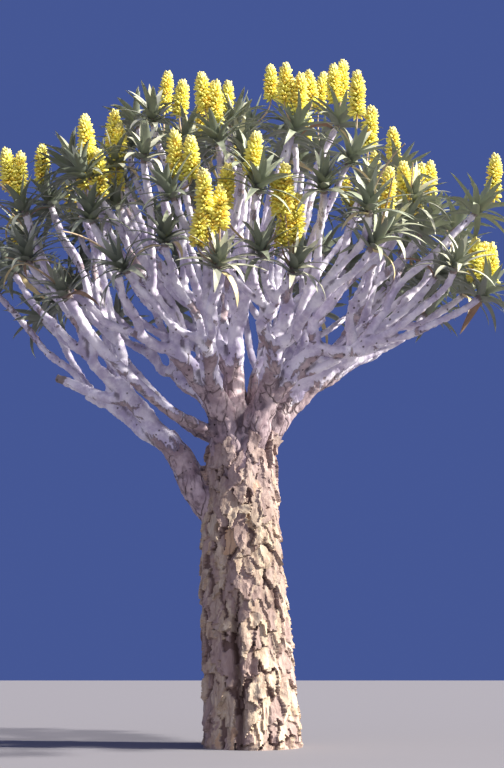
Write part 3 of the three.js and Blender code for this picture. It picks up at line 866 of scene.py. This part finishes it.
def flake_seeds(points):
    """Picks points of a surface as the middles of flakes, about one for each flake."""
    kept = []
    cells = {}
    for i in np.random.default_rng(5).permutation(len(points)):
        p = points[i] * FLAKE_SQUASH
        x, y, z = np.floor(p / FLAKE_SPACING).astype(int)
        steps = product((-1, 0, 1), repeat=3)
        near = [q for a, b, c in steps for q in cells.get((x + a, y + b, z + c), [])]
        if all((p - q) @ (p - q) > (0.72 * FLAKE_SPACING) ** 2 for q in near):
            cells.setdefault((x, y, z), []).append(p)
            kept.append(i)
    return points[kept]


def float_attribute(mesh, name, values):
    mesh.attributes.new(name, "FLOAT", "POINT").data.foreach_set("value", values.astype(np.float32))


def wrapped(angle):
    return (angle + pi) % (2 * pi) - pi


def bark_plates(angle, height, radius):
    """Overlapping plates that lift at their lower ends: the relief, and the plate on top at each point."""
    rng = np.random.default_rng(7)
    relief = np.zeros(len(angle))
    owner = np.full(len(angle), -1)
    for k in range(PLATE_COUNT):
        at = wrapped(k * GOLDEN_ANGLE + rng.normal(0, 0.1))
        level = (k + 0.5) / PLATE_COUNT * (TRUNK_HEIGHT + 0.1) - 0.05 + rng.normal(0, 0.04)
        half_width = between(PLATE_HALF_WIDTH, rng.random())
        half_height = between(PLATE_HALF_HEIGHT, rng.random())
        thickness = between(PLATE_THICKNESS, rng.random())
        lift = between(PLATE_LIFT, rng.random())
        curl = rng.normal(0, 0.009)
        turn = rng.normal(0, 0.22)
        ways = np.linspace(0, 2 * pi, 7)[:6] + rng.normal(0, 0.22, 6)
        rims = rng.uniform(0.72, 1.05, 6)
        if level > PLATES_TOP + 0.1 * cos(at + 0.5) + rng.normal(0, 0.09):
            continue
        near = np.nonzero(np.abs(height - level) < half_height * 1.5)[0]
        across = wrapped(angle[near] - at) * radius[near]
        inside = np.abs(across) < half_width * 2.2
        near, across = near[inside], across[inside]
        up = height[near] - level
        u = (across * cos(turn) + up * sin(turn)) / half_width
        v = (up * cos(turn) - across * sin(turn)) / half_height
        m = np.max([(np.cos(w) * u + np.sin(w) * v) / rim for w, rim in zip(ways, rims)], axis=0)
        on = m < 1
        near, u, v, m = near[on], u[on], v[on], m[on]
        top = thickness + lift * (0.5 - v) + curl * u + 0.004 * m**2
        top *= smoothstep((1 - m) / PLATE_EDGE)
        higher = top > relief[near]
        relief[near[higher]] = top[higher]
        owner[near[higher]] = k
    return relief, owner


def trunk_piece(skin_tree):
    """The trunk's plated bark, from the ground to where it peels away under the boughs."""
    heights = [0, 0.001, *np.linspace(0, TRUNK_BARK_TOP, TRUNK_RINGS)[1:]]
    mesh = lathe("trunk_bark", heights, [0] * len(heights), TRUNK_SIDES)
    points = lobed(points_of(mesh))
    height = points[:, 2]
    centre = np.column_stack([lean_at(height), np.zeros(len(points)), height])
    out = points - centre
    reach = np.linalg.norm(out, axis=1)
    rim = reach > 1e-4
    out[rim] /= reach[rim][:, None]
    for i in np.nonzero(rim & (height > COLLAR_FOOT + 0.03))[0]:
        start = reach[i] + 0.06
        hit = skin_tree.ray_cast(Vector(centre[i] + out[i] * start), Vector(-out[i]), start)
        if hit[0] is not None:
            reach[i] += (start - hit[3] - reach[i]) * above_collar(height[i])
    angle = np.arctan2(out[:, 1], out[:, 0])
    surface = centre + out * reach[:, None]
    jag_across = 0.014 * waves(surface, 0.15, 20, 4) / np.maximum(reach, 0.1)
    jag_up = 0.025 * waves(surface, 0.12, 21, 4)
    relief, owner = bark_plates(angle + jag_across, height + jag_up, reach)
    hollow = smoothstep((HOLLOW_DEPTH - relief) / HOLLOW_DEPTH)
    upper = smoothstep((height - COLLAR_START) / 0.25)
    relief += 0.013 * waves(surface * [1, 1, 0.3], 0.26, 31, 2) * (1 - upper)
    furrow = np.exp(-((wrapped(angle + FURROW_TURN) / FURROW_WIDTH) ** 2))
    furrow *= smoothstep((FURROW_TOP - height) / 0.25)
    relief -= FURROW_DEPTH * furrow + 0.014 * (1 - upper)
    relief -= 0.05 * smoothstep((height - 1.82) / 0.05) * (owner < 0)
    tones = np.random.default_rng(11).uniform(0, 1, PLATE_COUNT)
    foot = smoothstep(height / 0.02)
    set_points(mesh, centre + out * (reach + relief * rim * (0.3 + 0.7 * foot))[:, None])
    mesh.shade_smooth()
    mesh.set_sharp_from_angle(angle=radians(50))
    float_attribute(mesh, "tone", np.append(tones, 0)[owner])
    float_attribute(mesh, "upper", smoothstep((height - 1.55) / 0.45))
    # depth: painted shade in the hollows between plates and in the furrow.
    float_attribute(mesh, "depth", np.clip(hollow * 0.8 + furrow * 0.7, 0, 1))
    return mesh


def limb_relief(points, normals, way):
    """Peeling flakes near the trunk, and rings and swellings further out; also the mask of brown peel near
    the trunk, with painted shade on the undersides.
    """
    near = 1 - smoothstep((way - 0.1) / 0.8)
    jag = np.column_stack([waves(points, 0.12, 60 + k, 2) for k in range(3)]) * 0.025
    seeds = flake_seeds(points[::7])
    owner, edge = flakes_under(points + jag, seeds)
    thick = np.random.default_rng(12).uniform(-0.004, 0.005, len(seeds))
    relief = near * (thick[owner] - 0.006 * np.exp(-((edge / 0.014) ** 2)))
    relief += near * 0.008 * waves(points * [1, 1, 0.2], 0.085, 73, 2)
    relief += 0.0035 * waves(points, 0.22, 70, 3)
    ring = way * 2 * pi / RING_SPACING + 2 * waves(points, 0.4, 71, 1)
    relief += RING_HEIGHT * np.sin(ring) * (1 - near)
    # The undersides near the fork go brown: painted shade.
    under = smoothstep(-normals[:, 2] * 1.4 - 0.1) * (1 - smoothstep((way - 0.4) / 1.3))
    peel_and_under_shade = np.clip(near + 0.75 * under + 0.25 * waves(points, 0.5, 72, 2), 0, 1)
    return points + normals * relief[:, None], peel_and_under_shade


def clefts(points, normals, edges):
    """How far each point lies in a cleft between limbs, from 0 to 1: the mask of the painted shade in the
    clefts.
    """
    count = len(points)
    neighbours = np.bincount(edges.ravel(), minlength=count)
    one, two = edges.T
    step = points[two] - points[one]
    bend = np.bincount(one, (step * normals[one]).sum(1), count)
    bend -= np.bincount(two, (step * normals[two]).sum(1), count)
    bend /= neighbours * BARK_VOXEL
    for _ in range(CLEFT_ROUNDS):
        bend = (bend + neighbour_sums(edges, bend)) / (1 + neighbours)
    return smoothstep((bend - CLEFT_BEND[0]) / (CLEFT_BEND[1] - CLEFT_BEND[0]))


def limb_pieces(tree, skin, material):
    """The skin cut into the fork and one piece for each bough, which share their rims."""
    found = nearest_limbs(tree, points_of(skin))
    points, peel_and_under_shade = limb_relief(points_of(skin), normals_of(skin), found[:, 2])
    set_points(skin, points)
    normals = normals_of(skin)
    on = found[:, 0].astype(int)
    last = np.array([tube.level == SPRIG_LEVEL for tube in tree.tubes])
    lengths = np.array([length_of(tube.points) for tube in tree.tubes])
    left = (1 - found[:, 1]) * lengths[on]
    marks = {
        "peel_and_under_shade": peel_and_under_shade,
        "spent": np.where(last[on] & (on >= 0), 1 - smoothstep(left / SPENT_LENGTH), 0),
        # Painted shade in the clefts between limbs.
        "cleft": clefts(points, normals, edges_of(skin)),
    }
    names = ["fork"] + [bough.name for bough in BOUGHS]
    numbers = np.array([names.index(tube.bough) for tube in tree.tubes])
    first = np.array([tube.level == 0 for tube in tree.tubes])
    inner = (on < 0) | (first[on] & (found[:, 1] <= FORK_SHARE))
    owner = np.where(inner, 0, numbers[on])
    corners = read(skin.polygons, "vertices", 4, int)
    face_owner = owner[corners].max(axis=1)
    objects = {}
    for number, name in enumerate(names):
        faces = corners[face_owner == number]
        used = np.unique(faces)
        mesh = bpy.data.meshes.new("limbs_" + name)
        mesh.from_pydata(points[used].tolist(), [], np.searchsorted(used, faces).tolist())
        bm = bmesh.new()
        bm.from_mesh(mesh)
        bmesh.ops.holes_fill(bm, edges=[edge for edge in bm.edges if edge.is_boundary], sides=0)
        bm.to_mesh(mesh)
        bm.free()
        mesh.shade_smooth()
        mesh.normals_split_custom_set_from_vertices(normals[used].tolist())
        for mark, values in marks.items():
            float_attribute(mesh, mark, values[used])
        objects[name] = mesh_object("limbs_" + name, mesh, [material], "bough_bark")
    return objects


class Template:
    """A small shape made with operators, whose copies are joined as arrays."""

    def __init__(self, bm):
        bm.verts.index_update()
        bm.normal_update()
        self.points = np.array([v.co for v in bm.verts])
        self.corners = np.array([v.index for f in bm.faces for v in f.verts])
        self.sizes = np.array([len(f.verts) for f in bm.faces])
        self.under = np.array([f.normal.z < UNDERSIDE for f in bm.faces])
        bm.free()

    def joined(self, name, copies, slots):
        """A mesh of copies, given as an array of copies by points, with slots by copy and face."""
        count, size = len(copies), len(self.points)
        mesh = bpy.data.meshes.new(name)
        mesh.vertices.add(count * size)
        mesh.vertices.foreach_set("co", copies.ravel())
        loops = (self.corners[None, :] + np.arange(count)[:, None] * size).ravel()
        mesh.loops.add(len(loops))
        mesh.loops.foreach_set("vertex_index", loops)
        sizes = np.tile(self.sizes, count)
        slots = np.broadcast_to(slots, (count, len(self.sizes))).ravel()
        mesh.polygons.add(len(sizes))
        mesh.polygons.foreach_set("loop_start", np.concatenate([[0], np.cumsum(sizes)[:-1]]))
        mesh.polygons.foreach_set("material_index", slots)
        mesh.update(calc_edges=True)
        mesh.shade_smooth()
        return mesh


def placed(places, *parts):
    """Points by copy: each copy's place, plus its amounts along each of its ways."""
    points = places[:, None]
    for amounts, ways in parts:
        points = points + amounts[..., None] * ways[:, None]
    return points


def sides_of(way, lean):
    """Two ways across a way, square to each other."""
    side = unit(np.cross(way, lean))
    return side, np.cross(way, side)


def leaf_template():
    """A straight leaf of unit length, width and thickness, with a channel along its top."""
    bm = bmesh.new()
    section = [(-0.5, 0.12), (-0.26, -0.42), (0.26, -0.42), (0.5, 0.12), (0, -0.06)]
    ring = [bm.verts.new((0, y, z)) for y, z in section]
    edges = [bm.edges.new((ring[i], ring[(i + 1) % 5])) for i in range(5)]
    bm.faces.new(ring)
    for _ in range(1, LEAF_STATIONS):
        made = bmesh.ops.extrude_edge_only(bm, edges=edges)["geom"]
        edges = [e for e in made if isinstance(e, bmesh.types.BMEdge) and all(v in made for v in e.verts)]
        verts = list(dict.fromkeys(v for e in edges for v in e.verts))
        edges = [e for e in edges if e.is_boundary]
        bmesh.ops.translate(bm, verts=verts, vec=(1 / (LEAF_STATIONS - 1), 0, 0))
    bmesh.ops.pointmerge(bm, verts=verts, merge_co=(1, 0, -0.1))
    bmesh.ops.recalc_face_normals(bm, faces=bm.faces)
    return Template(bm)


def bent_leaves(template, roots, outs, axes, rises, sizes, sways):
    """Copies of the leaf, each bent from its root rise to its tip rise about its rosette's axis."""
    stations = np.linspace(0, 1, LEAF_STATIONS)
    rise = rises[:, :1] + (rises[:, 1:] - rises[:, :1]) * stations**0.8
    middle = (rise[:, 1:] + rise[:, :-1]) / 2
    step = sizes[:, :1] / (LEAF_STATIONS - 1)
    steps = [np.pad(turn(middle) * step, ((0, 0), (1, 0))) for turn in (np.cos, np.sin)]
    run, climb = (np.cumsum(s, axis=1) for s in steps)
    u, y, z = template.points.T
    at = np.rint(u * (LEAF_STATIONS - 1)).astype(int)
    width = (1 - u) ** 0.7 * (1 + 0.2 * u)
    y = y * width * sizes[:, 1:2] + sways[:, None] * u**2 * sizes[:, :1]
    z = z * (1 - 0.75 * u) * sizes[:, 2:]
    along = run[:, at] - np.sin(rise[:, at]) * z
    up = climb[:, at] + np.cos(rise[:, at]) * z
    return placed(roots, (along, outs), (up, axes), (y, np.cross(axes, outs)))


def leaves_of(sprig):
    """One rosette's leaves: each one's root, out way, axis, rises, sizes, sway and slot."""
    rng = np.random.default_rng(1000 + sprig.seed)
    side, other = sides_of(sprig.axis, ROSETTE_SIDE)
    scale = rng.uniform(0.9, 1.06)
    green = rng.integers(0, YELLOWED)
    count = LEAVES_EACH + rng.integers(-3, 4)
    turn = rng.uniform(0, 2 * pi)
    for i in range(count):
        q = (i + 0.5) / count
        angle = turn + i * GOLDEN_ANGLE + rng.normal(0, 0.12)
        out = side * cos(angle) + other * sin(angle)
        old = q > OLD_FROM and rng.random() < OLD_SHARE
        root_rise = 84 - 66 * q**0.75 + rng.normal(0, 5)
        tip_rise = 62 - 120 * q**0.85 + rng.normal(0, 15) - 25 * old
        length = LEAF_LENGTH * scale * min(1, 0.62 + 0.75 * q) * rng.uniform(0.9, 1.08)
        root = sprig.at + sprig.axis * (0.035 - 0.1 * q) + out * 0.022 * (0.3 + q)
        size = [length, LEAF_WIDTH * rng.uniform(0.85, 1.05), LEAF_THICKNESS]
        sway = rng.normal(0, 0.07)
        slot = green
        if old:
            slot = DRY if rng.random() < DRY_SHARE else YELLOWED
        yield root, out, sprig.axis, np.radians([root_rise, tip_rise]), size, sway, slot


def leaf_pieces(tree):
    """The rosettes' leaves, joined by bough. Each rosette has one green, with a darker green on the green
    leaves' undersides as painted shade; old leaves are yellow or dry.
    """
    template = leaf_template()
    finishes = [leaf_finish(*row) for row in LEAF_FINISHES]
    for bough in BOUGHS:
        name = "leaves_" + bough.name
        rows = [leaf for sprig in tree.sprigs if sprig.bough == bough.name for leaf in leaves_of(sprig)]
        *arrays, slots = (np.array(column) for column in zip(*rows))
        # The green leaves' undersides take the darker green: painted shade.
        slots = np.where(template.under & (slots[:, None] < YELLOWED), SHADED_UNDERSIDE, slots[:, None])
        mesh = template.joined(name, bent_leaves(template, *arrays), slots)
        mesh.set_sharp_from_angle(angle=radians(58))
        obj = mesh_object(name, mesh, finishes, "leaves")
        masses = nodes_of(name)
        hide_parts(*masses)


def flower_template():
    """One tubular flower along X: a narrow root, a swollen middle and an open mouth."""
    bm = bmesh.new()
    made = bmesh.ops.create_circle(bm, cap_ends=True, segments=4, radius=0.5)
    ring = made["verts"]
    bmesh.ops.rotate(bm, verts=ring, cent=(0, 0, 0), matrix=Matrix.Rotation(pi / 2, 3, "Y"))
    edges = list(dict.fromkeys(e for v in ring for e in v.link_edges))
    for x, radius in ((0.55, 1.6), (1.0, 0.6)):
        made = bmesh.ops.extrude_edge_only(bm, edges=edges)["geom"]
        verts = [v for v in made if isinstance(v, bmesh.types.BMVert)]
        edges = [e for e in made if isinstance(e, bmesh.types.BMEdge) and e.is_boundary]
        for v in verts:
            way = Vector((0, v.co.y, v.co.z)).normalized()
            v.co = Vector((x, 0, 0)) + way * 0.5 * radius
    bmesh.ops.holes_fill(bm, edges=edges, sides=0)
    bmesh.ops.recalc_face_normals(bm, faces=bm.faces)
    return Template(bm)


def raceme(foot, way, length, rng):
    """The places, ways, sizes and slots of one raceme's flowers."""
    side, other = sides_of(way, RACEME_SIDE)
    q = (np.arange(FLOWERS_EACH) + 0.5) / FLOWERS_EACH
    angle = np.arange(FLOWERS_EACH) * GOLDEN_ANGLE + rng.uniform(0, 6)
    out = side * np.cos(angle)[:, None] + other * np.sin(angle)[:, None]
    pitch = np.radians(-16 + 76 * q**2.6 + rng.normal(0, 9, FLOWERS_EACH))
    ways = out * np.cos(pitch)[:, None] + way * np.sin(pitch)[:, None]
    sizes = FLOWER_LENGTH * (1 - 0.42 * q**3) * rng.uniform(0.85, 1.12, FLOWERS_EACH)
    places = foot + way * (length * q**0.95)[:, None] + out * 0.005
    opened = np.where(rng.random(FLOWERS_EACH) < GOLD_SHARE, GOLD, YELLOW)
    return places, ways, sizes, np.where(q > BUDS_FROM, BUD, opened)


def nodes_of(name):
    """The source's nodes whose names go on from a name."""
    return [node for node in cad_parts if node.startswith(name + "_")]


def seen(point):
    """Where a point falls in the photograph, in its pixels, and how deep it lies."""
    turn = radians(CAMERA_RISE)
    away = point - CAMERA_PLACE
    deep = away[1] * cos(turn) + away[2] * sin(turn)
    high = away[2] * cos(turn) - away[1] * sin(turn)
    return np.array([PICTURE[0] / 2 + FOCAL * away[0] / deep, PICTURE[1] / 2 - FOCAL * high / deep]), deep


def across(point, spot):
    """The move across the view that brings a point to a spot in the photograph."""
    turn = radians(CAMERA_RISE)
    place, deep = seen(point)
    right, down = (spot - place) * deep / FOCAL
    return np.array([right, down * sin(turn), -down * cos(turn)])


def nudges_to_photo(tree):
    """Small moves that bring the nearest sprigs' ends to the rosettes in the photograph, and
    the second and low sprigs that are left out where it shows bare limbs between them."""
    nudges = {}
    for spot in ROSETTE_SPOTS:
        free = [s for s in tree.sprigs if s.at[1] < NEAR_SIDE and s.seed not in nudges]
        best = min(free, key=lambda s: np.linalg.norm(across(s.at, spot)) + 0.15 * s.at[1])
        move = across(best.at, spot)
        nudges[best.seed] = move * min(1, NUDGE_LIMIT / np.linalg.norm(move))
    left, top, right, bottom = OPEN_WINDOW
    left_out = []
    for sprig in tree.sprigs:
        x, y = seen(sprig.at)[0]
        spare = sprig.seed % 4 > 0 and sprig.seed not in nudges
        if spare and sprig.at[1] < NEAR_SIDE and left < x < right and top < y < bottom:
            left_out.append(sprig.seed)
    return nudges, left_out


def misfit(sprig, spot, load):
    """How badly a sprig that already has some racemes suits a raceme's spot in the photograph."""
    place = seen(sprig.at)[0]
    rise = place[1] - spot[1]
    early = 1.5 * max(0, RACEME_RISE[0] - rise) + max(0, rise - RACEME_RISE[1])
    return abs(place[0] - spot[0]) + early + 5 * load + 6 * sprig.at[1]


def flowering(tree):
    """The racemes of each sprig: the photograph's spots on the near side, seeded ones behind."""
    racemes = {}
    near = [s for s in tree.sprigs if s.at[1] < NEAR_SIDE and (s.seed % 4 < 2 or s.seed in tree.nudges)]
    for spot in RACEME_SPOTS:
        misfits = [misfit(s, spot, len(racemes.get(s.seed, []))) for s in near]
        racemes.setdefault(near[np.argmin(misfits)].seed, []).append(spot)
    for sprig in (s for s in tree.sprigs if s.at[1] >= NEAR_SIDE and s.seed % 4 < 2):
        if seen(sprig.at)[0][1] < LOWEST_FAR_SPOT and roll(sprig.seed, 71) < FAR_SHARE:
            count = 1 + (roll(sprig.seed, 72) < 0.5) + (roll(sprig.seed, 73) < 0.25)
            racemes[sprig.seed] = [None] * count
    return racemes


def old_stalk(sprig, out):
    """The middle line and the radii of a bare stalk left from an earlier season."""
    t = np.linspace(0, 1, 9)[:, None]
    reach = sprig.axis * 0.42 + out * 0.12
    line = sprig.at + reach * t + out * 0.1 * t**2 - UP * 0.06 * t**3
    return line, np.linspace(STALK_RADIUS * 1.1, STALK_RADIUS * 0.5, 9)


def raceme_stand(sprig, spot, tilt, rng):
    """Where a raceme's foot is, its way and its length, at its spot in the photograph if it has one."""
    way = unit(sprig.axis * 0.3 + UP * 0.7 + tilt * (spot is None))
    length = RACEME_LENGTH * rng.uniform(0.78, 1.08)
    foot = way * STALK_LENGTH * rng.uniform(0.75, 1.1)
    if spot:
        way = unit(sprig.axis * 0.15 + UP + tilt * 0.5)
        foot = way * STALK_LENGTH + across(sprig.at + way * (STALK_LENGTH + length / 2), spot)
        foot[2] = max(foot[2], STALK_LIMITS[0])
        foot *= min(1, STALK_LIMITS[1] / np.linalg.norm(foot))
    foot += sprig.at
    foot[2] = min(foot[2], RACEME_TOP - length)
    return foot, way, length


def raceme_stalk(sprig, foot, way, length):
    """The middle line and the radii of a stalk, bent up from its rosette and on through its raceme."""
    t = np.linspace(0, 1, 7)[:, None]
    knee = foot - way * np.linalg.norm(foot - sprig.at) * 0.45
    bend = (1 - t) ** 2 * (sprig.at - sprig.axis * 0.02) + 2 * t * (1 - t) * knee + t**2 * foot
    line = np.concatenate([bend, [foot + way * length / 2, foot + way * length]])
    return line, np.linspace(STALK_RADIUS, STALK_TIP_RADIUS, len(line))


def flower_pieces(tree):
    """Racemes on the sprigs that flower, joined by bough, with their stalks."""
    template = flower_template()
    yellows = [leaf_finish(*row) for row in FLOWER_FINISHES]
    stalk_finish = leaf_finish("flower_stalk", "b09a7c", 0.6)
    racemes = flowering(tree)
    for bough in BOUGHS:
        flowers, stalks = [], []
        for sprig in (s for s in tree.sprigs if s.bough == bough.name):
            rng = np.random.default_rng(3000 + sprig.seed)
            side, other = sides_of(sprig.axis, ROSETTE_SIDE)
            start = rng.uniform(0, 2 * pi)
            if roll(sprig.seed, 75) < OLD_STALK_SHARE:
                stalks.append(old_stalk(sprig, side * cos(start) + other * sin(start)))
            spots = racemes.get(sprig.seed, [])
            for k, spot in enumerate(spots):
                angle = start + 2 * pi * k / len(spots)
                tilt = (side * cos(angle) + other * sin(angle)) * RACEME_TILT
                tilt += rng.normal(0, 0.05, 3)
                stand = raceme_stand(sprig, spot, tilt, rng)
                flowers.append(raceme(*stand, rng))
                stalks.append(raceme_stalk(sprig, *stand))
        stalk_mesh = tube_mesh(stalks, 1)
        stalk_mesh.shade_smooth()
        mesh_object("stalks_" + bough.name, stalk_mesh, [stalk_finish], "flowers")
        places, ways, sizes, slots = (np.concatenate(column) for column in zip(*flowers))
        side = np.cross(ways, UP)
        side /= np.linalg.norm(side, axis=1)[:, None]
        x, y, z = template.points.T
        parts = (x * sizes[:, None], ways), (y * FLOWER_WIDTH, side), (z * FLOWER_WIDTH, np.cross(side, ways))
        mesh = template.joined("flowers_" + bough.name, placed(places, *parts), slots[:, None])
        mesh_object("flowers_" + bough.name, mesh, yellows, "flowers")


def add_lamp(name, toward, strength, spread, colour):
    """A distant lamp, by the way toward it and its spread in degrees."""
    light = bpy.data.lights.new(name, "SUN")
    light.energy = strength
    light.angle = radians(spread)
    light.color = colour
    lamp = bpy.data.objects.new(name, light)
    lamp.rotation_euler = Vector(toward).to_track_quat("Z", "Y").to_euler()
    bpy.context.scene.collection.objects.link(lamp)


def stage():
    """A plain floor, a sky-blue surround, sun from the right and the photograph's camera."""
    scene = bpy.context.scene
    scene.view_settings.view_transform = "Standard"
    bm = bmesh.new()
    bmesh.ops.create_grid(bm, x_segments=1, y_segments=1, size=40)
    paper = Finish("floor", 0.9)
    paper.colour("737176")
    floor = mesh_object("floor", mesh_from(bm, "floor"), [paper.material])
    world = bpy.data.worlds.new("studio")
    world.use_nodes = True
    sky = world.node_tree.nodes["Background"]
    sky.inputs["Color"].default_value = (0.2, 0.32, 1, 1)
    sky.inputs["Strength"].default_value = 0.3
    scene.world = world
    add_lamp("key", (0.89, -0.165, 0.4), 8.6, 0.8, (1, 0.945, 0.85))
    add_lamp("top", (0.55, -0.2, 0.8), 4.4, 3, (1, 0.96, 0.9))
    add_lamp("fill", (-0.3, -0.8, 0.45), 0.9, 120, (1, 0.92, 0.9))
    data = bpy.data.cameras.new("camera")
    data.lens = LENS
    data.sensor_width = SENSOR
    camera = bpy.data.objects.new("camera", data)
    camera.location = CAMERA_PLACE
    camera.rotation_euler = (radians(90 + CAMERA_RISE), 0, 0)
    scene.collection.objects.link(camera)
    scene.camera = camera


def main():
    tree = Tree(*nudges_to_photo(Tree({}, [])))
    skin = bark_union(tree)
    skin_tree = BVHTree.FromPolygons(points_of(skin).tolist(), [list(p.vertices) for p in skin.polygons])
    trunk = mesh_object("trunk_bark", trunk_piece(skin_tree), [trunk_finish()], "trunk_bark")
    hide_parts("trunk")
    limbs = limb_pieces(tree, skin, limb_finish())
    for bough in BOUGHS:
        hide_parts("bough_" + bough.name)
        outer = nodes_of("bough_" + bough.name)
        if bough.name == "left":
            outer.append("stub_left")
        if outer:
            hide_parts(*outer)
    leaf_pieces(tree)
    flower_pieces(tree)
    stage()


main()
